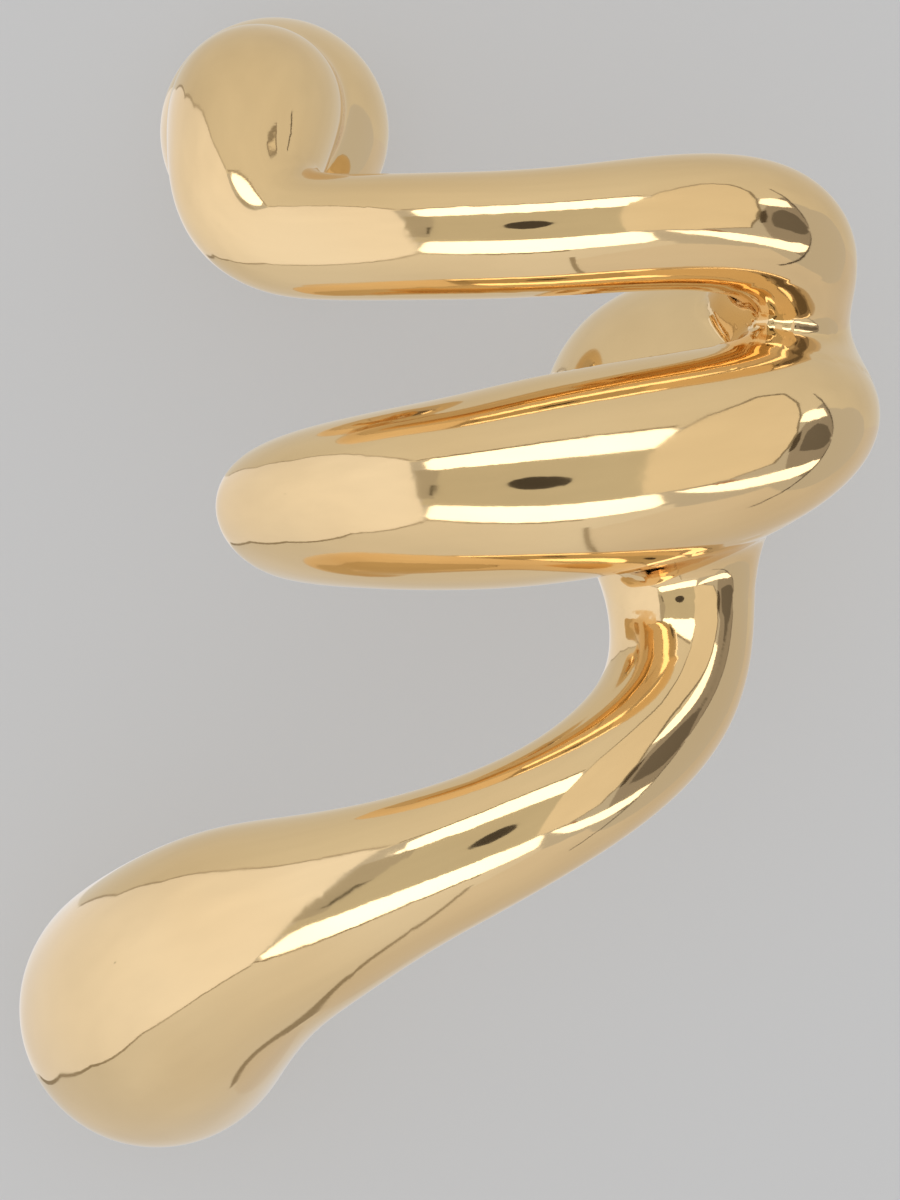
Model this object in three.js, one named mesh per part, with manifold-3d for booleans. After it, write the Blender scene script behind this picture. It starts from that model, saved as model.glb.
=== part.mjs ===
// Ear cuff: one cast body of round rods that flow into each other and end in drops.
// It lies on its back. +X runs to the joined ends of the arms, +Y to the small drop, +Z up.
// Lengths are in millimetres. The origin is under the middle of the cuff, on the surface it lies on.
import * as THREE from 'three';
import Module from 'manifold-3d';

// Overall size of the cuff.
const cuffWidth = 23.3;
const cuffLength = 30.5;
const cuffDepth = 14.2;

// Girths of the rods and of the swellings along them.
const slimRod = 3.4;
const lowerRod = 3.6;
const upperDrop = 6.5;
const lowerDrop = 7.9;
const knuckle = 7.8;
const broadHeight = 5.6;
const broadThickness = 4.0;

// Share of the broad arm's thickness that lies in front of its widest line: a domed front.
const broadDome = 0.67;

// How far the slim arm's section is drawn from round, which lifts its ridge.
const slimRidge = -0.03;

// How softly two limbs run into each other.
const limbFillet = 0.45;

// Drawing of the surface.
const netCell = 0.84;
const sampleStep = 0.35;
const rodSoftness = 0.1;
const reach = 3.5;
const evenRounds = 3;

const gold = new THREE.MeshStandardMaterial({ color: 0xe2c08c, roughness: 0.08, metalness: 1 });

// Stations of the long limb, from the small drop over the slim arm, the joined ends, the
// knuckle behind the ear and the lower arm to the large drop. They steer a smooth curve, which
// passes a little inside them where they bend or swell.
// across and up: shares of the cuff's width and length. rise: 0 lies on the surface, 1 touches
// the front plane. girth: the rod's diameter. edge: how far the section is drawn towards
// three soft edges.
const longLimb = [
  { across: 0.298, up: 0.909, rise: 0.0, girth: upperDrop },
  { across: 0.297, up: 0.909, rise: 0.168, girth: upperDrop * 0.9 },
  { across: 0.285, up: 0.915, rise: 0.33, girth: upperDrop * 0.63 },
  { across: 0.281, up: 0.933, rise: 0.486, girth: upperDrop * 0.76 },
  { across: 0.272, up: 0.892, rise: 0.648, girth: upperDrop * 0.68 },
  { across: 0.263, up: 0.84, rise: 0.765, girth: slimRod * 1.12 },
  { across: 0.305, up: 0.807, rise: 0.79, girth: slimRod * 1.01 },
  { across: 0.384, up: 0.805, rise: 0.879, girth: slimRod * 0.985, edge: slimRidge },
  { across: 0.48, up: 0.805, rise: 0.972, girth: slimRod * 0.995, edge: slimRidge },
  { across: 0.588, up: 0.806, rise: 1.005, girth: slimRod * 0.995, edge: slimRidge },
  { across: 0.684, up: 0.813, rise: 0.983, girth: slimRod * 1.02, edge: slimRidge },
  { across: 0.776, up: 0.82, rise: 0.93, girth: slimRod * 1.07, edge: slimRidge },
  { across: 0.857, up: 0.817, rise: 0.84, girth: slimRod * 1.1 },
  { across: 0.908, up: 0.794, rise: 0.67, girth: slimRod * 1.12 },
  { across: 0.884, up: 0.738, rise: 0.44, girth: slimRod * 1.0 },
  { across: 0.857, up: 0.682, rise: 0.229, girth: knuckle * 0.64 },
  { across: 0.748, up: 0.668, rise: 0.0, girth: knuckle },
  { across: 0.757, up: 0.598, rise: 0.62, girth: knuckle * 0.74 },
  { across: 0.768, up: 0.52, rise: 0.57, girth: lowerRod * 1.12 },
  { across: 0.778, up: 0.45, rise: 0.61, girth: lowerRod * 1.07 },
  { across: 0.756, up: 0.39, rise: 0.7, girth: lowerRod * 1.01 },
  { across: 0.694, up: 0.342, rise: 0.855, girth: lowerRod * 0.97 },
  { across: 0.618, up: 0.304, rise: 0.945, girth: lowerRod * 0.96 },
  { across: 0.53, up: 0.271, rise: 0.95, girth: lowerRod * 1.04 },
  { across: 0.433, up: 0.241, rise: 0.91, girth: lowerDrop * 0.54 },
  { across: 0.337, up: 0.21, rise: 0.83, girth: lowerDrop * 0.675 },
  { across: 0.252, up: 0.186, rise: 0.69, girth: lowerDrop * 0.81 },
  { across: 0.182, up: 0.139, rise: 0.4, girth: lowerDrop * 0.93 },
  { across: 0.159, up: 0.118, rise: 0.0, girth: lowerDrop * 0.975 },
];

// Stations of the broad arm, from its free rounded tip to where it joins the long limb.
// high and thick: the section's two girths, as shares of the broad arm's. lean: turn of the
// section about the arm, in degrees. edge: how far the section is drawn towards three soft edges.
const broadArm = [
  { across: 0.307, up: 0.568, rise: 0.561, high: 0.69, thick: 0.92, lean: 0, edge: -0.01 },
  { across: 0.34, up: 0.571, rise: 0.728, high: 0.78, thick: 0.98, lean: 0, edge: -0.05 },
  { across: 0.425, up: 0.577, rise: 0.905, high: 0.87, thick: 1.02, lean: 2, edge: -0.07 },
  { across: 0.52, up: 0.581, rise: 0.98, high: 0.94, thick: 1.04, lean: 4, edge: -0.05 },
  { across: 0.616, up: 0.589, rise: 0.998, high: 1.0, thick: 1.04, lean: 6, edge: 0.0 },
  { across: 0.712, up: 0.6, rise: 0.975, high: 1.0, thick: 1.05, lean: 7, edge: 0.02 },
  { across: 0.802, up: 0.613, rise: 0.915, high: 0.98, thick: 1.07, lean: 8, edge: 0.02 },
  { across: 0.884, up: 0.632, rise: 0.835, high: 0.9, thick: 1.07, lean: 5, edge: 0.01 },
  { across: 0.919, up: 0.65, rise: 0.66, high: 0.8, thick: 1.08, lean: 0, edge: 0 },
  { across: 0.9, up: 0.665, rise: 0.4, high: 0.79, thick: 1.11, lean: 0, edge: 0 },
];

// One station as a control point: place, half height, depths in front and behind, lean and edge.
function controlPoint(station) {
  const high = station.girth ?? broadHeight * station.high;
  const thick = station.girth ?? broadThickness * station.thick;
  const dome = station.girth ? 0.5 : broadDome;
  return [
    (station.across - 0.5) * cuffWidth,
    (station.up - 0.5) * cuffLength,
    thick / 2 + station.rise * (cuffDepth - thick),
    high / 2,
    thick * dome,
    thick * (1 - dome),
    THREE.MathUtils.degToRad(station.lean ?? 0),
    station.edge ?? 0,
  ];
}

// The stations as a smooth curve, a uniform cubic spline that starts and ends on them.
function curveThrough(stations) {
  const piecesPerStation = 40;
  const points = stations.map(controlPoint);
  const last = points.length - 1;
  const before = points[0].map((value, k) => 2 * value - points[1][k]);
  const after = points[last].map((value, k) => 2 * value - points[last - 1][k]);
  const all = [before, ...points, after];
  const curve = [];
  for (let piece = 0; piece <= last * piecesPerStation; piece += 1) {
    const start = Math.min(Math.floor(piece / piecesPerStation), last - 1);
    const u = piece / piecesPerStation - start;
    const weights = [
      (1 - u) ** 3 / 6,
      (3 * u ** 3 - 6 * u ** 2 + 4) / 6,
      (-3 * u ** 3 + 3 * u ** 2 + 3 * u + 1) / 6,
      u ** 3 / 6,
    ];
    curve.push(points[0].map((_, k) => weights.reduce((sum, w, j) => sum + w * all[start + j][k], 0)));
  }
  return curve;
}

// The curve walked in even steps.
function evenSteps(curve) {
  const travelled = [0];
  for (let i = 1; i < curve.length; i += 1) {
    const [a, b] = [curve[i - 1], curve[i]];
    travelled.push(travelled[i - 1] + Math.hypot(b[0] - a[0], b[1] - a[1], b[2] - a[2]));
  }
  const whole = travelled[travelled.length - 1];
  const steps = Math.round(whole / sampleStep);
  const even = [];
  let at = 0;
  for (let i = 0; i <= steps; i += 1) {
    const goal = (whole * i) / steps;
    while (at < curve.length - 2 && travelled[at + 1] < goal) {
      at += 1;
    }
    const share = (goal - travelled[at]) / (travelled[at + 1] - travelled[at]);
    even.push(curve[at].map((value, k) => value + (curve[at + 1][k] - value) * share));
  }
  return { even, step: whole / steps };
}

// A limb as a chain of small ellipsoids, each with its own three directions.
function limbFrom(stations) {
  const { even, step } = evenSteps(curveThrough(stations));
  const place = even.map((row) => new THREE.Vector3(row[0], row[1], row[2]));
  return even.map((row, i) => {
    const next = place[Math.min(i + 1, place.length - 1)];
    const along = next.clone().sub(place[Math.max(i - 1, 0)]).normalize();
    const upward = Math.abs(along.y) < 0.9 ? new THREE.Vector3(0, 1, 0) : new THREE.Vector3(1, 0, 0);
    upward.addScaledVector(along, -upward.dot(along)).normalize();
    const sideways = new THREE.Vector3().crossVectors(along, upward);
    const lean = row[6];
    const highWay = upward.clone().multiplyScalar(Math.cos(lean)).addScaledVector(sideways, Math.sin(lean));
    const thickWay = new THREE.Vector3().crossVectors(along, highWay);
    const [high, front, back] = row.slice(3, 6);
    const halfThick = (front + back) / 2;
    const length = (high + halfThick) / 2;
    return {
      place: place[i].clone().addScaledVector(thickWay, halfThick - front),
      ways: [along, highWay, thickWay],
      sizes: [length, high, front],
      back,
      edge: row[7],
      reachSquared: (Math.max(high, front) + reach) ** 2,
      weight: step / Math.sqrt(2 * Math.PI * rodSoftness * length),
    };
  });
}

const limbs = [limbFrom(longLimb), limbFrom(broadArm)];

const solids = await Module();
solids.setup();

// How far a point lies outside one ellipsoid, negative inside it.
function outsideOf(bead, dx, dy, dz) {
  const reaches = bead.ways.map((way) => dx * way.x + dy * way.y + dz * way.z);
  const sizes = reaches[2] < 0 ? [bead.sizes[0], bead.sizes[1], bead.back] : bead.sizes;
  const shares = reaches.map((reached, k) => reached / sizes[k]);
  const ratio = Math.max(Math.hypot(...shares), Number.EPSILON);
  const slope = Math.hypot(...shares.map((share, k) => share / sizes[k]));
  const height = shares[1] / ratio;
  const drawn = 1 + bead.edge * (4 * height ** 3 - 3 * height);
  return (ratio * (ratio / drawn - 1)) / slope;
}

// How far a point lies outside the body. The limbs' own values melt into each other.
function outside(x, y, z) {
  let melted = 0;
  for (const limb of limbs) {
    let sum = 0;
    for (const bead of limb) {
      const dx = x - bead.place.x;
      const dy = y - bead.place.y;
      const dz = z - bead.place.z;
      if (dx * dx + dy * dy + dz * dz < bead.reachSquared) {
        sum += bead.weight * Math.exp(-outsideOf(bead, dx, dy, dz) / rodSoftness);
      }
    }
    melted += sum ** (rodSoftness / limbFillet);
  }
  return melted > 0 ? -limbFillet * Math.log(melted) : reach;
}

// Value and steepest direction of the body's outside distance at a point.
function slopeAt(point) {
  const tiny = 0.01;
  const way = new THREE.Vector3(
    outside(point.x + tiny, point.y, point.z) - outside(point.x - tiny, point.y, point.z),
    outside(point.x, point.y + tiny, point.z) - outside(point.x, point.y - tiny, point.z),
    outside(point.x, point.y, point.z + tiny) - outside(point.x, point.y, point.z - tiny),
  ).divideScalar(2 * tiny);
  return { value: outside(point.x, point.y, point.z), way };
}

// The point moved straight onto the surface.
function ontoSurface(point) {
  const { value, way } = slopeAt(point);
  const steepness = Math.max(way.lengthSq(), 0.25);
  return point.addScaledVector(way, -value / steepness);
}

// The surface as a closed net of triangles.
function netOfBody() {
  const margin = 2 * netCell;
  const low = [-cuffWidth / 2 - margin, -cuffLength / 2 - margin, -margin];
  const high = [cuffWidth / 2 + margin, cuffLength / 2 + margin, cuffDepth + margin];
  const inside = (point) => -outside(point[0], point[1], point[2]);
  const net = solids.Manifold.levelSet(inside, { min: low, max: high }, netCell).getMesh();
  const corners = [];
  for (let i = 0; i < net.vertProperties.length; i += net.numProp) {
    corners.push(new THREE.Vector3().fromArray(net.vertProperties, i));
  }
  return { corners, triangles: Array.from(net.triVerts) };
}

// Corners spread evenly over the surface.
function spreadEvenly(corners, triangles) {
  for (let round = 0; round < evenRounds; round += 1) {
    const sums = corners.map(() => new THREE.Vector3());
    const neighbours = corners.map(() => 0);
    for (let start = 0; start < triangles.length; start += 3) {
      for (let k = 0; k < 3; k += 1) {
        const corner = triangles[start + k];
        sums[corner].add(corners[triangles[start + ((k + 1) % 3)]]);
        neighbours[corner] += 1;
      }
    }
    corners.forEach((corner, k) => {
      corner.lerp(sums[k].divideScalar(neighbours[k]), 0.5);
      ontoSurface(corner);
      ontoSurface(corner);
    });
  }
}

function bodyGeometry() {
  const { corners, triangles } = netOfBody();
  spreadEvenly(corners, triangles);
  const geometry = new THREE.BufferGeometry();
  geometry.setAttribute('position', new THREE.Float32BufferAttribute(corners.flatMap((p) => p.toArray()), 3));
  geometry.setIndex(triangles);
  geometry.computeBoundingBox();
  const box = geometry.boundingBox;
  const middle = box.getCenter(new THREE.Vector3());
  geometry.translate(-middle.x, -middle.y, -box.min.z);
  geometry.computeVertexNormals();
  return geometry;
}

const cuff = new THREE.Group();
cuff.name = 'ear_cuff_part';
const body = new THREE.Mesh(bodyGeometry(), gold);
body.name = 'ear_cuff';
cuff.add(body);

export default cuff;
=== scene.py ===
"""Looks of the ear cuff: its polished gold body, a pale floor, a light tent and the camera."""

import math

import bmesh
import bpy
import numpy as np
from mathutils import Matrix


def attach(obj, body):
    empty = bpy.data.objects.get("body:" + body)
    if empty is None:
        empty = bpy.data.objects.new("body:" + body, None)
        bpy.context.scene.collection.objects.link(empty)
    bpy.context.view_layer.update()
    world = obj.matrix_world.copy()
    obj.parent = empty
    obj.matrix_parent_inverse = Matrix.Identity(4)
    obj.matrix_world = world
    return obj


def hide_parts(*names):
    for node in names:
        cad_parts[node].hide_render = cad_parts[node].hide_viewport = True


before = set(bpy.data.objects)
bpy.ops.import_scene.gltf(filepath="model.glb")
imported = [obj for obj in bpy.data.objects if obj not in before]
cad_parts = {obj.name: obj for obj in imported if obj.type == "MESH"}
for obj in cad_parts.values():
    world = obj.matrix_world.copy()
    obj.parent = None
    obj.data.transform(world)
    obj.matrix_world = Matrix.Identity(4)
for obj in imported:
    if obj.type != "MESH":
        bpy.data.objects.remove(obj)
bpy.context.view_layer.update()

bl_info = {
    "name": "Ear cuff",
    "version": (1, 0, 0),
    "blender": (4, 5, 0),
    "location": "3D View > Sidebar > Ear cuff",
    "description": "Builds the polished gold ear cuff on its packed frame, and its studio",
    "category": "Add Mesh",
}

MILLIMETRE = 0.001

# How many pieces a limb's curve has from station to station, how far apart its small ellipsoids
# sit along it in millimetres, and the seed of the waves in the polish.
PIECES_PER_STATION = 40
BEAD_STEP = 0.35
WAVE_SEED = 7.0

# Stations of the long limb, from the small drop over the slim arm, the joined ends, the
# knuckle behind the ear and the lower arm to the large drop. They steer a smooth curve, which
# passes a little inside them where they bend or swell.
# across, up: shares of the cuff's width and length. rise: 0 lies on the surface, 1 touches
# the front plane. rod: the named girth. share: what share of it the rod has. ridged: 1 where
# the section is drawn by the slim ridge.
LONG_LIMB = (
    # across, up, rise, rod, share, ridged
    (0.298, 0.909, 0.0, "upper_drop", 1.0, 0),
    (0.297, 0.909, 0.168, "upper_drop", 0.9, 0),
    (0.285, 0.915, 0.33, "upper_drop", 0.63, 0),
    (0.281, 0.933, 0.486, "upper_drop", 0.76, 0),
    (0.272, 0.892, 0.648, "upper_drop", 0.68, 0),
    (0.263, 0.84, 0.765, "slim_rod", 1.12, 0),
    (0.305, 0.807, 0.79, "slim_rod", 1.01, 0),
    (0.384, 0.805, 0.879, "slim_rod", 0.985, 1),
    (0.48, 0.805, 0.972, "slim_rod", 0.995, 1),
    (0.588, 0.806, 1.005, "slim_rod", 0.995, 1),
    (0.684, 0.813, 0.983, "slim_rod", 1.02, 1),
    (0.776, 0.82, 0.93, "slim_rod", 1.07, 1),
    (0.857, 0.817, 0.84, "slim_rod", 1.1, 0),
    (0.908, 0.794, 0.67, "slim_rod", 1.12, 0),
    (0.884, 0.738, 0.44, "slim_rod", 1.0, 0),
    (0.857, 0.682, 0.229, "knuckle", 0.64, 0),
    (0.748, 0.668, 0.0, "knuckle", 1.0, 0),
    (0.757, 0.598, 0.62, "knuckle", 0.74, 0),
    (0.768, 0.52, 0.57, "lower_rod", 1.12, 0),
    (0.778, 0.45, 0.61, "lower_rod", 1.07, 0),
    (0.756, 0.39, 0.7, "lower_rod", 1.01, 0),
    (0.694, 0.342, 0.855, "lower_rod", 0.97, 0),
    (0.618, 0.304, 0.945, "lower_rod", 0.96, 0),
    (0.53, 0.271, 0.95, "lower_rod", 1.04, 0),
    (0.433, 0.241, 0.91, "lower_drop", 0.54, 0),
    (0.337, 0.21, 0.83, "lower_drop", 0.675, 0),
    (0.252, 0.186, 0.69, "lower_drop", 0.81, 0),
    (0.182, 0.139, 0.4, "lower_drop", 0.93, 0),
    (0.159, 0.118, 0.0, "lower_drop", 0.975, 0),
)

# Stations of the broad arm, from its free rounded tip to where it joins the long limb.
# high, thick: the section's two girths, as shares of the broad arm's. lean: turn of the
# section about the arm, in degrees. edge: how far it is drawn towards three soft edges.
BROAD_ARM = (
    # across, up, rise, high, thick, lean, edge
    (0.307, 0.568, 0.561, 0.69, 0.92, 0, -0.01),
    (0.34, 0.572, 0.728, 0.77, 0.99, 0, -0.03),
    (0.425, 0.5765, 0.905, 0.86, 1.03, 3, -0.035),
    (0.52, 0.58, 0.98, 0.93, 1.05, 5, -0.02),
    (0.616, 0.588, 0.998, 1.0, 1.05, 7, 0.012),
    (0.712, 0.5995, 0.975, 1.0, 1.06, 7.5, 0.022),
    (0.802, 0.613, 0.915, 0.98, 1.07, 8, 0.02),
    (0.884, 0.632, 0.835, 0.9, 1.07, 5, 0.01),
    (0.919, 0.65, 0.66, 0.8, 1.08, 0, 0.0),
    (0.9, 0.665, 0.4, 0.79, 1.11, 0, 0.0),
)

# The light tent as patches of a sphere round the cuff, seen only in its reflections.
# side: degrees from straight above towards +X. height: degrees round from straight above
# towards +Y, past 90 below the floor's level. Each patch is an outline of (side, height)
# corners. Later patches lie nearer to the cuff and hide the earlier ones.
TENT = (
    # name, light, tint, corners
    ("tan_top", 0.82, (1.0, 0.97, 0.89), ((-60, 42), (20, 42), (62, 60), (66, 120), (50, 180), (-60, 180))),
    ("tan_bottom", 0.84, (1.0, 0.985, 0.96), ((-60, -180), (-60, -44), (31, -44), (31, -180))),
    ("pink_bottom", 0.8, (1.0, 0.955, 0.9), ((13, -60), (31, -50), (50, -64), (50, -180), (13, -180))),
    ("wall_between_strips", 0.64, (1.0, 0.97, 0.84), ((-30, -26), (24, -26), (24, 26), (-30, 26))),
    ("column", 0.5, (1.0, 0.96, 0.86), ((-33, -17), (-26, -17), (-25, 25), (-33, 28))),
    ("strip_upper", 2.5, (1.0, 0.985, 0.96), (
        (-29, 28), (-27, 25), (20, 25), (21, 28), (21, 40), (19, 42.5), (-26, 42.5), (-29, 39),
    )),
    ("strip_lower", 2.5, (1.0, 0.98, 0.95), (
        (-27, -41), (-25, -44), (27, -44), (29, -41), (28, -28), (26, -25), (-25, -25), (-27, -28),
    )),
    ("cream_wall", 1.05, (1.0, 0.99, 1.0), (
        (-89.5, -180), (0, -180), (-22, -165), (-38, -145), (-44, -120), (-42, -80), (-33, -62), (-27, -46),
        (-29, -30), (-32, -15), (-33, 0), (-34, 25), (-33, 45), (-42, 70), (-45, 90), (-48, 120),
        (-42, 145), (-25, 165), (0, 180), (-89.5, 180),
    )),
    ("seam_upper", 0.36, (1.0, 0.9, 0.74), ((-31, 43), (20, 43), (20, 44.5), (-31, 44.5))),
    ("seam_lower", 0.38, (1.0, 0.9, 0.74), ((-27, -46), (12, -46), (12, -44.5), (-27, -44.5))),
    ("seam_bottom", 0.38, (1.0, 0.9, 0.74), ((12, -130), (13.2, -130), (13.2, -56), (12, -56))),
    ("seam_wall_low", 0.4, (1.0, 0.9, 0.74), (
        (-22, -165), (-20.5, -165), (-36.5, -145), (-42.8, -120), (-41, -80), (-32, -62), (-26, -47),
        (-27, -47), (-33, -62), (-42, -80), (-44, -120), (-38, -145),
    )),
    ("seam_wall_high", 0.5, (1.0, 0.92, 0.8), (
        (-33, 45), (-31.5, 45), (-41, 70), (-44, 90), (-47, 120), (-41, 145), (-24, 165),
        (-25, 165), (-42, 145), (-48, 120), (-45, 90), (-42, 70),
    )),
    ("column_slit", 0.12, (1.0, 0.9, 0.7), ((-28, -12), (-26.5, -12), (-26, 2), (-27.5, 2))),
    ("dim_right", 0.38, (1.0, 0.95, 0.92), (
        (60, -89), (89, -89), (89, 89), (58, 89), (60, 62), (61, 40), (60, -20), (58, -60),
    )),
    ("dark_edge", 0.1, (1.0, 0.85, 0.7), ((59.5, -10), (62.5, -6), (64, 12), (62, 30), (60, 20))),
    ("dark_right", 0.18, (1.0, 0.93, 0.88), (
        (66, -14), (74, -28), (82, -55), (88, -60), (88, 60), (78, 66), (69, 52), (66, 30),
    )),
    ("seam_right_high", 0.1, (1.0, 0.9, 0.8), (
        (48, 88), (66, 87), (89, 86), (89, 91), (66, 90), (48, 89.5),
    )),
    ("seam_right_low", 0.1, (1.0, 0.9, 0.8), (
        (40, -89.5), (66, -90), (89, -91), (89, -86), (66, -87), (40, -88),
    )),
    ("card_shade", 0.3, (1.0, 0.9, 0.74), (
        (24, -23), (38, -28), (54, -23), (59.5, 0), (60.5, 25), (55, 52), (47, 68), (36, 74), (27, 67),
        (22.5, 51), (20, 22), (22, 0),
    )),
    ("peach_card", 0.9, (1.0, 0.93, 0.8), (
        (24, -23), (28, -24.5), (38, -27), (53, -22), (58, 0), (59, 25), (54, 50), (46, 66), (36, 72),
        (28, 66), (23, 50), (20, 22), (22, 0),
    )),
    ("card_spot", 0.42, (1.0, 0.6, 0.4), ((37, -29), (42, -38), (45, -36), (42, -28))),
    ("white_slope", 2.4, (1.0, 0.98, 0.95), (
        (31, -27), (38, -29.5), (50, -38), (62, -50), (71, -68), (73, -86), (66, -86), (60, -76),
        (52, -60), (42, -46),
    )),
    ("white_bar", 2.3, (1.0, 0.98, 0.95), (
        (57, 43), (62, 47), (67, 62), (69, 80), (62, 82), (57, 66), (55, 56),
    )),
)

# The camera's dark lens, a round patch of the tent in front of all the others.
LENS_LIGHT = 0.08
LENS_TINT = (1.0, 0.9, 0.8)
LENS_HEIGHT = 1
LENS_HALF_ANGLE = 7
LENS_CORNERS = 24


def length_setting(name, description, default):
    """A setting that is a length, in metres."""
    return bpy.props.FloatProperty(
        name=name, description=description, default=default, unit="LENGTH", precision=5
    )


def colour_setting(name, description, default):
    """A setting that is a colour."""
    return bpy.props.FloatVectorProperty(
        name=name, description=description, default=default, subtype="COLOR", min=0, max=1
    )


def share_setting(name, description, default):
    """A setting that is a share between 0 and 1."""
    return bpy.props.FloatProperty(
        name=name, description=description, default=default, min=0, max=1, subtype="FACTOR"
    )


def light_setting(name, description, default):
    """A setting that is an amount of light."""
    return bpy.props.FloatProperty(name=name, description=description, default=default, min=0)


class CuffShape(bpy.types.PropertyGroup):
    """Sizes of the cuff, and how finely its surface is drawn."""

    width: length_setting("Width", "Width across the arms", 0.0233)
    length: length_setting("Length", "Length from drop to drop", 0.0305)
    depth: length_setting("Depth", "Depth from back to front", 0.0142)
    slim_rod: length_setting("Slim arm", "Girth of the slim arm", 0.0034)
    lower_rod: length_setting("Lower arm", "Girth of the lower arm", 0.0036)
    upper_drop: length_setting("Small drop", "Girth of the small drop", 0.0065)
    lower_drop: length_setting("Large drop", "Girth of the large drop", 0.0079)
    knuckle: length_setting("Knuckle", "Girth of the knuckle behind the ear", 0.0078)
    broad_height: length_setting("Broad arm height", "Larger girth of the broad arm", 0.0056)
    broad_thickness: length_setting("Broad arm thickness", "Smaller girth of the broad arm", 0.004)
    broad_dome: share_setting(
        "Broad arm dome", "Share of the broad arm's thickness in front of its widest line", 0.67
    )
    slim_ridge: bpy.props.FloatProperty(
        name="Slim arm ridge", description="How far the slim arm's section is drawn from round",
        default=-0.03, min=-0.2, max=0.2,
    )
    fillet: length_setting("Fillet", "How softly two limbs run into each other", 0.00045)
    wave_height: bpy.props.FloatProperty(
        name="Polish wave height", description="Height of the faint waves that hand polishing leaves",
        default=0.000006, unit="LENGTH", precision=7,
    )
    wave_size: length_setting("Polish wave size", "Width of the faint waves", 0.0035)
    refine: bpy.props.IntProperty(
        name="Refine", description="How often each facet of the packed solid is split",
        default=2, min=0, max=2,
    )


class CuffFinish(bpy.types.PropertyGroup):
    """The polished gold."""

    gold: colour_setting("Gold", "Colour of the polished gold", (0.84, 0.635, 0.365))
    gold_deep: colour_setting(
        "Deeper gold", "Colour where the gold is a little deeper", (0.82, 0.605, 0.335)
    )
    roughness: share_setting("Roughness", "Roughness of the polish", 0.06)
    hairlines: share_setting("Hairlines", "Depth of the fine hairlines in the polish", 0.02)


class CuffStudio(bpy.types.PropertyGroup):
    """The floor, the light tent and the camera."""

    floor_colour: colour_setting("Floor", "Colour of the floor", (0.315, 0.32, 0.33))
    floor_glow: light_setting("Floor glow", "Brightness that the floor gives off", 0.335)
    room_light: light_setting("Room light", "Brightness of the room beyond the tent", 0.6)
    panel_light: light_setting("Tent light", "Brightness of the whole tent", 1.0)
    foot_light: share_setting(
        "Foot light", "Brightness of the tent at its foot, as a share of overhead", 0.82
    )
    unevenness: light_setting("Unevenness", "How uneven the tent's cloth is lit", 0.16)
    tent_away: length_setting("Tent distance", "From the cuff to the light tent", 0.66)
    camera_away: length_setting("Camera distance", "From the front of the cuff to the camera", 0.25)
    lens: bpy.props.FloatProperty(
        name="Lens", description="Focal length of the camera in millimetres", default=285.0, min=1
    )


def control_points(shape):
    """The stations as rows of place, half height, depths in front and behind, lean and edge.

    Lengths are in millimetres and the lean is in radians.
    """
    shares = ("broad_dome", "slim_ridge", "refine")
    size = {name: getattr(shape, name) / MILLIMETRE for name in shape.__annotations__ if name not in shares}

    def row(across, up, rise, high, thick, dome, lean, edge):
        return (
            (across - 0.5) * size["width"],
            (up - 0.5) * size["length"],
            thick / 2 + rise * (size["depth"] - thick),
            high / 2,
            thick * dome,
            thick * (1 - dome),
            math.radians(lean),
            edge,
        )

    long_limb = [
        row(across, up, rise, size[rod] * share, size[rod] * share, 0.5, 0, ridged * shape.slim_ridge)
        for across, up, rise, rod, share, ridged in LONG_LIMB
    ]
    broad_arm = [
        row(
            across, up, rise,
            size["broad_height"] * high, size["broad_thickness"] * thick, shape.broad_dome,
            lean, edge,
        )
        for across, up, rise, high, thick, lean, edge in BROAD_ARM
    ]
    return [np.array(long_limb), np.array(broad_arm)]


def curve_through(points):
    """A uniform cubic spline steered by the points, which starts and ends on them."""
    ends = (2 * points[0] - points[1], 2 * points[-1] - points[-2])
    steering = np.vstack((ends[0], points, ends[1]))
    last = len(points) - 1
    piece = np.arange(last * PIECES_PER_STATION + 1)
    start = np.minimum(piece // PIECES_PER_STATION, last - 1)
    u = (piece / PIECES_PER_STATION - start)[:, None]
    return (
        (1 - u) ** 3 / 6 * steering[start]
        + (3 * u**3 - 6 * u**2 + 4) / 6 * steering[start + 1]
        + (-3 * u**3 + 3 * u**2 + 3 * u + 1) / 6 * steering[start + 2]
        + u**3 / 6 * steering[start + 3]
    )


def even_steps(curve):
    """The curve walked in even steps, and the length of one step."""
    lengths = np.linalg.norm(np.diff(curve[:, :3], axis=0), axis=1)
    travelled = np.concatenate(([0.0], np.cumsum(lengths)))
    steps = round(travelled[-1] / BEAD_STEP)
    goals = np.linspace(0, travelled[-1], steps + 1)
    even = np.stack([np.interp(goals, travelled, column) for column in curve.T], axis=1)
    return even, travelled[-1] / steps


def unit(vectors):
    """The vectors at length one."""
    return vectors / np.linalg.norm(vectors, axis=-1, keepdims=True)


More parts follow.
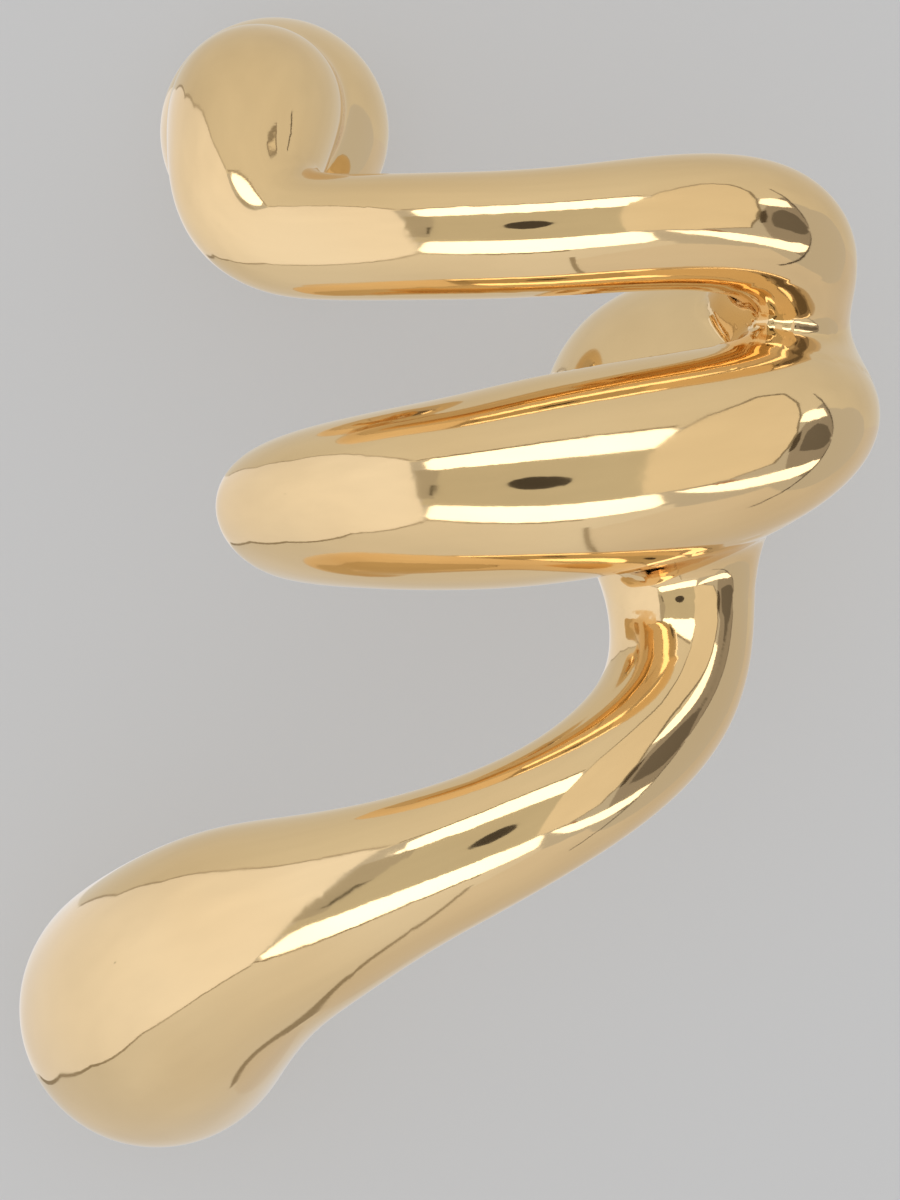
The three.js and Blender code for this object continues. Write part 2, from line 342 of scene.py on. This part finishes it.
class Limb:
    """One limb as a chain of small ellipsoids, each with its own three directions."""

    # How softly the ellipsoids melt and how far beyond its size each one counts, in millimetres,
    # and how much of a limb's direction may point along Y before +X stands in for upward.
    SOFTNESS = 0.1
    REACH = 1.4
    STEEP = 0.9

    def __init__(self, points):
        even, step = even_steps(curve_through(points))
        self.places = even[:, :3]
        index = np.arange(len(even))
        behind = self.places[np.maximum(index - 1, 0)]
        ahead = self.places[np.minimum(index + 1, len(even) - 1)]
        along = unit(ahead - behind)
        steep = np.abs(along[:, 1:2]) >= self.STEEP
        upward = np.where(steep, (1.0, 0.0, 0.0), (0.0, 1.0, 0.0))
        upward = unit(upward - along * np.sum(upward * along, axis=1, keepdims=True))
        sideways = np.cross(along, upward)
        high, front, back, lean = even[:, 3], even[:, 4], even[:, 5], even[:, 6:7]
        high_way = upward * np.cos(lean) + sideways * np.sin(lean)
        thick_way = np.cross(along, high_way)
        half_thick = (front + back) / 2
        self.places = self.places + thick_way * (half_thick - front)[:, None]
        self.ways = np.stack((along, high_way, thick_way), axis=1)
        length = (high + half_thick) / 2
        self.sizes = np.stack((length, high, front), axis=1)
        self.backs = back
        self.edges = even[:, 7]
        self.weights = step / np.sqrt(2 * math.pi * self.SOFTNESS * length)

    def near(self, points):
        """For each ellipsoid, the points that it can reach."""
        reach = self.sizes.max(axis=1) + self.REACH
        return [
            np.nonzero(np.sum((points - place) ** 2, axis=1) < far**2)[0]
            for place, far in zip(self.places, reach)
        ]

    def pull(self, points, near):
        """Sum of the ellipsoids' pulls at each point, and the sum of their outward directions."""
        least_pull = 1e-30
        total = np.full(len(points), least_pull)
        outward = np.zeros_like(points)
        for bead, found in enumerate(near):
            ways = self.ways[bead]
            shares = (points[found] - self.places[bead]) @ ways.T
            sizes = np.repeat(self.sizes[bead][None], len(found), axis=0)
            sizes[shares[:, 2] < 0, 2] = self.backs[bead]
            shares = shares / sizes
            ratio = np.linalg.norm(shares, axis=1)
            slopes = shares / sizes
            slope = np.linalg.norm(slopes, axis=1)
            height = shares[:, 1] / ratio
            drawn = 1 + self.edges[bead] * (4 * height**3 - 3 * height)
            outside = ratio * (ratio / drawn - 1) / slope
            pull = self.weights[bead] * np.exp(-outside / self.SOFTNESS)
            total[found] += pull
            outward[found] += (slopes @ ways) * (pull / slope)[:, None]
        return total, outward / total[:, None]


class Body:
    """The melted limbs as one surface, in millimetres."""

    def __init__(self, shape):
        self.limbs = [Limb(points) for points in control_points(shape)]
        self.fillet = shape.fillet / MILLIMETRE

    def outside(self, points, near):
        """How far each point lies outside the body, and the way out."""
        melted = np.zeros(len(points))
        way = np.zeros_like(points)
        for limb, found in zip(self.limbs, near):
            total, outward = limb.pull(points, found)
            share = total ** (Limb.SOFTNESS / self.fillet)
            melted += share
            way += outward * share[:, None]
        return -self.fillet * np.log(melted), way / melted[:, None]

    def near(self, points):
        """For each limb, which points its ellipsoids can reach."""
        return [limb.near(points) for limb in self.limbs]

    def shift_to(self, points):
        """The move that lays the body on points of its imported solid."""
        rounds = 6
        low, high = points.min(axis=0), points.max(axis=0)
        everything = np.concatenate([limb.places for limb in self.limbs])
        middle = (everything.min(axis=0) + everything.max(axis=0)) / 2
        shift = (low + high) / 2 - middle
        for _ in range(rounds):
            moved = points - shift
            value, way = self.outside(moved, self.near(moved))
            shift += np.linalg.lstsq(way, value, rcond=None)[0]
        return shift

    def settle(self, points):
        """The points moved straight onto the surface."""
        rounds = 4
        least_steepness = 0.25
        near = self.near(points)
        for _ in range(rounds):
            value, way = self.outside(points, near)
            steepness = np.maximum(np.sum(way**2, axis=1), least_steepness)
            points = points - way * (value / steepness)[:, None]
        return points


def polish_tree():
    """Geometry nodes that lay faint waves on a surface and give it its material."""
    tree = bpy.data.node_groups.new("hand_polished_surface", "GeometryNodeTree")
    sockets = tree.interface
    sockets.new_socket("Surface", in_out="INPUT", socket_type="NodeSocketGeometry")
    for name, kind in (
        ("Wave Height", "NodeSocketFloat"),
        ("Wave Size", "NodeSocketFloat"),
        ("Seed", "NodeSocketFloat"),
        ("Finish", "NodeSocketMaterial"),
    ):
        sockets.new_socket(name, in_out="INPUT", socket_type=kind)
    sockets.new_socket("Surface", in_out="OUTPUT", socket_type="NodeSocketGeometry")
    nodes, link = tree.nodes, tree.links.new
    given = nodes.new("NodeGroupInput")
    result = nodes.new("NodeGroupOutput")
    place = nodes.new("GeometryNodeInputPosition")
    normal = nodes.new("GeometryNodeInputNormal")

    waves_per_metre = nodes.new("ShaderNodeMath")
    waves_per_metre.operation = "DIVIDE"
    waves_per_metre.inputs[0].default_value = 1.0
    link(given.outputs["Wave Size"], waves_per_metre.inputs[1])

    waves = nodes.new("ShaderNodeTexNoise")
    waves.noise_dimensions = "4D"
    waves.inputs["Detail"].default_value = 1.0
    link(place.outputs["Position"], waves.inputs["Vector"])
    link(given.outputs["Seed"], waves.inputs["W"])
    link(waves_per_metre.outputs["Value"], waves.inputs["Scale"])

    up_and_down = nodes.new("ShaderNodeMath")
    up_and_down.operation = "SUBTRACT"
    up_and_down.inputs[1].default_value = 0.5
    link(waves.outputs["Fac"], up_and_down.inputs[0])

    height = nodes.new("ShaderNodeMath")
    height.operation = "MULTIPLY"
    link(up_and_down.outputs["Value"], height.inputs[0])
    link(given.outputs["Wave Height"], height.inputs[1])

    offset = nodes.new("ShaderNodeVectorMath")
    offset.operation = "SCALE"
    link(normal.outputs["Normal"], offset.inputs["Vector"])
    link(height.outputs["Value"], offset.inputs["Scale"])

    waved = nodes.new("GeometryNodeSetPosition")
    link(given.outputs["Surface"], waved.inputs["Geometry"])
    link(offset.outputs["Vector"], waved.inputs["Offset"])

    smooth = nodes.new("GeometryNodeSetShadeSmooth")
    link(waved.outputs["Geometry"], smooth.inputs["Geometry"])

    whole = nodes.new("GeometryNodeRealizeInstances")
    link(smooth.outputs["Geometry"], whole.inputs["Geometry"])

    finished = nodes.new("GeometryNodeSetMaterial")
    link(whole.outputs["Geometry"], finished.inputs["Geometry"])
    link(given.outputs["Finish"], finished.inputs["Material"])
    link(finished.outputs["Geometry"], result.inputs["Surface"])
    return tree


def dressed(surface, name, tree, **values):
    """The surface with the node tree baked into a plain mesh."""
    holder = bpy.data.objects.new(name, surface)
    bpy.context.scene.collection.objects.link(holder)
    modifier = holder.modifiers.new("polish", "NODES")
    modifier.node_group = tree
    given = [item for item in tree.interface.items_tree if item.in_out == "INPUT"]
    identifiers = {item.name: item.identifier for item in given}
    for label, value in values.items():
        modifier[identifiers[label.replace("_", " ").title()]] = value
    graph = bpy.context.evaluated_depsgraph_get()
    baked = bpy.data.meshes.new_from_object(holder.evaluated_get(graph))
    holder.modifiers.remove(modifier)
    holder.data = baked
    baked.name = name
    bpy.data.meshes.remove(surface)
    return holder


def node_maker(material):
    """Two short helpers for a material's nodes: make one, and link two sockets."""
    material.use_nodes = True
    tree = material.node_tree
    tree.nodes.clear()
    return tree.nodes.new, tree.links.new


def polished_gold(finish):
    """Mirror-polished gold with a faint change of colour, gloss and fine hairlines."""
    tones_per_metre = 160.0
    hazes_per_metre = 420.0
    hairline_turn = (0.3, 0.2, 0.5)
    hairlines_per_metre = (300.0, 9000.0, 9000.0)
    hairline_depth = 0.00002
    haze_range = (0.3, 0.75)
    gloss_range = (finish.roughness * 0.6, finish.roughness * 1.6)
    material = bpy.data.materials.new("polished_gold")
    make, link = node_maker(material)
    output = make("ShaderNodeOutputMaterial")
    shader = make("ShaderNodeBsdfPrincipled")
    shader.inputs["Metallic"].default_value = 1.0
    link(shader.outputs["BSDF"], output.inputs["Surface"])
    place = make("ShaderNodeTexCoord")

    tone = make("ShaderNodeTexNoise")
    tone.inputs["Scale"].default_value = tones_per_metre
    tone.inputs["Detail"].default_value = 2.0
    link(place.outputs["Object"], tone.inputs["Vector"])
    colours = make("ShaderNodeValToRGB")
    colours.color_ramp.elements[0].position = 0.35
    colours.color_ramp.elements[0].color = (*finish.gold_deep, 1.0)
    colours.color_ramp.elements[1].position = 0.65
    colours.color_ramp.elements[1].color = (*finish.gold, 1.0)
    link(tone.outputs["Fac"], colours.inputs["Fac"])
    link(colours.outputs["Color"], shader.inputs["Base Color"])

    haze = make("ShaderNodeTexNoise")
    haze.inputs["Scale"].default_value = hazes_per_metre
    haze.inputs["Detail"].default_value = 4.0
    link(place.outputs["Object"], haze.inputs["Vector"])
    gloss = make("ShaderNodeMapRange")
    gloss.inputs["From Min"].default_value = haze_range[0]
    gloss.inputs["From Max"].default_value = haze_range[1]
    gloss.inputs["To Min"].default_value = gloss_range[0]
    gloss.inputs["To Max"].default_value = gloss_range[1]
    link(haze.outputs["Fac"], gloss.inputs["Value"])
    link(gloss.outputs["Result"], shader.inputs["Roughness"])

    stretch = make("ShaderNodeMapping")
    stretch.inputs["Rotation"].default_value = hairline_turn
    stretch.inputs["Scale"].default_value = hairlines_per_metre
    link(place.outputs["Object"], stretch.inputs["Vector"])
    lines = make("ShaderNodeTexNoise")
    lines.inputs["Scale"].default_value = 1.0
    lines.inputs["Detail"].default_value = 3.0
    link(stretch.outputs["Vector"], lines.inputs["Vector"])
    fine = make("ShaderNodeBump")
    fine.inputs["Strength"].default_value = finish.hairlines
    fine.inputs["Distance"].default_value = hairline_depth
    link(lines.outputs["Fac"], fine.inputs["Height"])
    link(fine.outputs["Normal"], shader.inputs["Normal"])
    return material


def tent_light():
    """Shader nodes for the tent's cloth: brighter overhead, darker towards its foot, a little uneven."""
    foot_level = -0.9
    overhead_level = 0.85
    folds_scale = 2.5
    tree = bpy.data.node_groups.new("tent_light", "ShaderNodeTree")
    sockets = tree.interface
    for name in ("Light", "Foot", "Uneven"):
        sockets.new_socket(name, in_out="INPUT", socket_type="NodeSocketFloat")
    sockets.new_socket("Strength", in_out="OUTPUT", socket_type="NodeSocketFloat")
    make, link = tree.nodes.new, tree.links.new
    given = make("NodeGroupInput")
    result = make("NodeGroupOutput")
    place = make("ShaderNodeTexCoord")
    way = make("ShaderNodeVectorMath")
    way.operation = "NORMALIZE"
    link(place.outputs["Object"], way.inputs[0])
    parts = make("ShaderNodeSeparateXYZ")
    link(way.outputs["Vector"], parts.inputs["Vector"])
    fall = make("ShaderNodeMapRange")
    fall.interpolation_type = "SMOOTHSTEP"
    fall.inputs["From Min"].default_value = foot_level
    fall.inputs["From Max"].default_value = overhead_level
    fall.inputs["To Max"].default_value = 1.0
    link(parts.outputs["Z"], fall.inputs["Value"])
    link(given.outputs["Foot"], fall.inputs["To Min"])
    cloth = make("ShaderNodeTexNoise")
    cloth.inputs["Scale"].default_value = folds_scale
    cloth.inputs["Detail"].default_value = 3.0
    link(way.outputs["Vector"], cloth.inputs["Vector"])
    centred = make("ShaderNodeMath")
    centred.operation = "SUBTRACT"
    centred.inputs[1].default_value = 0.5
    link(cloth.outputs["Fac"], centred.inputs[0])
    folds = make("ShaderNodeMath")
    folds.operation = "MULTIPLY_ADD"
    folds.inputs[2].default_value = 1.0
    link(centred.outputs["Value"], folds.inputs[0])
    link(given.outputs["Uneven"], folds.inputs[1])
    lit = make("ShaderNodeMath")
    lit.operation = "MULTIPLY"
    link(given.outputs["Light"], lit.inputs[0])
    link(fall.outputs["Result"], lit.inputs[1])
    strength = make("ShaderNodeMath")
    strength.operation = "MULTIPLY"
    link(lit.outputs["Value"], strength.inputs[0])
    link(folds.outputs["Value"], strength.inputs[1])
    link(strength.outputs["Value"], result.inputs["Strength"])
    return tree


def glowing(name, light, tint, cloth, studio):
    """A patch of the tent that gives light."""
    material = bpy.data.materials.new(name)
    make, link = node_maker(material)
    output = make("ShaderNodeOutputMaterial")
    lamp = make("ShaderNodeEmission")
    lamp.inputs["Color"].default_value = (*tint, 1.0)
    patch = make("ShaderNodeGroup")
    patch.node_tree = cloth
    patch.inputs["Light"].default_value = light
    patch.inputs["Foot"].default_value = studio.foot_light
    patch.inputs["Uneven"].default_value = studio.unevenness
    link(patch.outputs["Strength"], lamp.inputs["Strength"])
    link(lamp.outputs["Emission"], output.inputs["Surface"])
    return material


def light_table(name, colour, glow):
    """A matt surface that also glows a little, so that shadows on it are faint."""
    material = bpy.data.materials.new(name)
    make, link = node_maker(material)
    output = make("ShaderNodeOutputMaterial")
    shader = make("ShaderNodeBsdfPrincipled")
    shader.inputs["Base Color"].default_value = (*colour, 1.0)
    shader.inputs["Roughness"].default_value = 0.9
    shader.inputs["Emission Color"].default_value = (1.0, 1.0, 1.0, 1.0)
    shader.inputs["Emission Strength"].default_value = glow
    link(shader.outputs["BSDF"], output.inputs["Surface"])
    return material


def stage_mesh(name, points, faces, material):
    """A thing of the stage, made from its points and faces."""
    mesh = bpy.data.meshes.new(name)
    mesh.from_pydata(points, [], faces)
    mesh.materials.append(material)
    thing = bpy.data.objects.new(name, mesh)
    bpy.context.scene.collection.objects.link(thing)
    return thing


def direction(side, height):
    """The way that a side and a height angle, in degrees, point from the cuff."""
    side, height = math.radians(side), math.radians(height)
    return (math.sin(side), math.cos(side) * math.sin(height), math.cos(side) * math.cos(height))


def round_lens():
    """The outline of the camera's lens as the cuff sees it."""
    turns = [2 * math.pi * corner / LENS_CORNERS for corner in range(LENS_CORNERS)]
    return tuple(
        (LENS_HALF_ANGLE * math.cos(turn), LENS_HEIGHT + LENS_HALF_ANGLE * math.sin(turn)) for turn in turns
    )


def tent_patch(name, corners, away, material):
    """A patch of a sphere round the cuff with the given outline, seen only in reflections."""
    degrees_per_step = 2.0
    degrees_per_cut = 4.0
    outline = bmesh.new()
    ring = []
    for here, after in zip(corners, corners[1:] + corners[:1]):
        side_run = after[0] - here[0]
        height_run = after[1] - here[1]
        steps = max(1, round(max(abs(side_run), abs(height_run)) / degrees_per_step))
        for step in range(steps):
            t = step / steps
            ring.append(outline.verts.new((here[0] + side_run * t, here[1] + height_run * t, 0)))
    outline.faces.new(ring)
    lows = [min(vert.co[k] for vert in ring) for k in (0, 1)]
    highs = [max(vert.co[k] for vert in ring) for k in (0, 1)]
    for k in (0, 1):
        cuts = int((highs[k] - lows[k]) / degrees_per_cut)
        for cut in range(1, cuts):
            at = [0, 0, 0]
            at[k] = lows[k] + cut * degrees_per_cut
            across = [0, 0, 0]
            across[k] = 1
            everything = outline.verts[:] + outline.edges[:] + outline.faces[:]
            bmesh.ops.bisect_plane(outline, geom=everything, plane_co=at, plane_no=across)
    bmesh.ops.triangulate(outline, faces=outline.faces)
    outline.verts.index_update()
    points = [tuple(away * part for part in direction(vert.co.x, vert.co.y)) for vert in outline.verts]
    faces = [tuple(vert.index for vert in face.verts) for face in outline.faces]
    outline.free()
    thing = stage_mesh(name, points, faces, material)
    thing.visible_camera = False
    thing.visible_diffuse = False
    thing.visible_shadow = False


class CUFF_OT_body(bpy.types.Operator):
    """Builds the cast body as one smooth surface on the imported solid"""

    bl_idname = "ear_cuff.body"
    bl_label = "Body"

    def execute(self, context):
        shape = context.scene.cuff_shape
        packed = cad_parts["ear_cuff"]
        same_place = MILLIMETRE / 1000
        net = bmesh.new()
        net.from_mesh(packed.data)
        bmesh.ops.remove_doubles(net, verts=net.verts, dist=same_place)
        for _ in range(shape.refine):
            bmesh.ops.subdivide_edges(net, edges=net.edges, cuts=1, use_grid_fill=True)
        bmesh.ops.triangulate(net, faces=net.faces)
        surface = bpy.data.meshes.new("cuff_surface")
        net.to_mesh(surface)
        net.free()

        body = Body(shape)
        corners = np.empty(len(packed.data.vertices) * 3)
        packed.data.vertices.foreach_get("co", corners)
        shift = body.shift_to(np.unique(corners.reshape(-1, 3).round(8), axis=0) / MILLIMETRE)
        places = np.empty(len(surface.vertices) * 3)
        surface.vertices.foreach_get("co", places)
        settled = body.settle(places.reshape(-1, 3) / MILLIMETRE - shift) + shift
        surface.vertices.foreach_set("co", (settled * MILLIMETRE).ravel())
        surface.update()

        piece = dressed(
            surface,
            "cuff_body",
            polish_tree(),
            wave_height=shape.wave_height,
            wave_size=shape.wave_size,
            seed=WAVE_SEED,
            finish=polished_gold(context.scene.cuff_finish),
        )
        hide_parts("ear_cuff")
        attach(piece, "root")
        return {"FINISHED"}


class CUFF_OT_stage(bpy.types.Operator):
    """Sets the floor, the room, the light tent and the camera"""

    bl_idname = "ear_cuff.stage"
    bl_label = "Stage"

    def execute(self, context):
        scene = context.scene
        studio = scene.cuff_studio
        half = 3.0
        layer_gap = 0.002
        camera_over = (0.0001, -0.0005)
        square = [(-half, -half, 0), (half, -half, 0), (half, half, 0), (-half, half, 0)]
        pale_floor = light_table("pale_floor", studio.floor_colour, studio.floor_glow)
        floor = stage_mesh("floor", square, [(0, 1, 2, 3)], pale_floor)
        floor.visible_glossy = False

        room = bpy.data.worlds.new("room")
        room.use_nodes = True
        glow = room.node_tree.nodes["Background"]
        glow.inputs["Color"].default_value = (1.0, 1.0, 1.0, 1.0)
        glow.inputs["Strength"].default_value = studio.room_light
        scene.world = room

        cloth = tent_light()
        patches = (*TENT, ("lens", LENS_LIGHT, LENS_TINT, round_lens()))
        for layer, (name, light, tint, corners) in enumerate(patches):
            material = glowing(name, light * studio.panel_light, tint, cloth, studio)
            tent_patch(name, corners, studio.tent_away - layer_gap * layer, material)

        view = bpy.data.cameras.new("camera")
        view.lens = studio.lens
        view.sensor_width = 36.0
        view.clip_start = 0.01
        view.clip_end = 10.0
        camera = bpy.data.objects.new("camera", view)
        scene.collection.objects.link(camera)
        camera.location = (*camera_over, scene.cuff_shape.depth + studio.camera_away)
        scene.camera = camera
        scene.view_settings.view_transform = "Standard"
        return {"FINISHED"}


class CUFF_PT_panel(bpy.types.Panel):
    bl_label = "Ear cuff"
    bl_idname = "CUFF_PT_panel"
    bl_space_type = "VIEW_3D"
    bl_region_type = "UI"
    bl_category = "Ear cuff"

    def draw(self, context):
        layout = self.layout
        for settings, operator in (("cuff_shape", "ear_cuff.body"), ("cuff_studio", "ear_cuff.stage")):
            box = layout.box()
            group = getattr(context.scene, settings)
            for name in group.__annotations__:
                box.prop(group, name)
            if settings == "cuff_shape":
                for name in context.scene.cuff_finish.__annotations__:
                    box.prop(context.scene.cuff_finish, name)
            box.operator(operator)


CLASSES = (CuffShape, CuffFinish, CuffStudio, CUFF_OT_body, CUFF_OT_stage, CUFF_PT_panel)


def register():
    for each in CLASSES:
        bpy.utils.register_class(each)
    bpy.types.Scene.cuff_shape = bpy.props.PointerProperty(type=CuffShape)
    bpy.types.Scene.cuff_finish = bpy.props.PointerProperty(type=CuffFinish)
    bpy.types.Scene.cuff_studio = bpy.props.PointerProperty(type=CuffStudio)


def unregister():
    del bpy.types.Scene.cuff_studio
    del bpy.types.Scene.cuff_finish
    del bpy.types.Scene.cuff_shape
    for each in reversed(CLASSES):
        bpy.utils.unregister_class(each)


def main():
    register()
    bpy.ops.ear_cuff.body()
    bpy.ops.ear_cuff.stage()


if __name__ == "__main__":
    main()
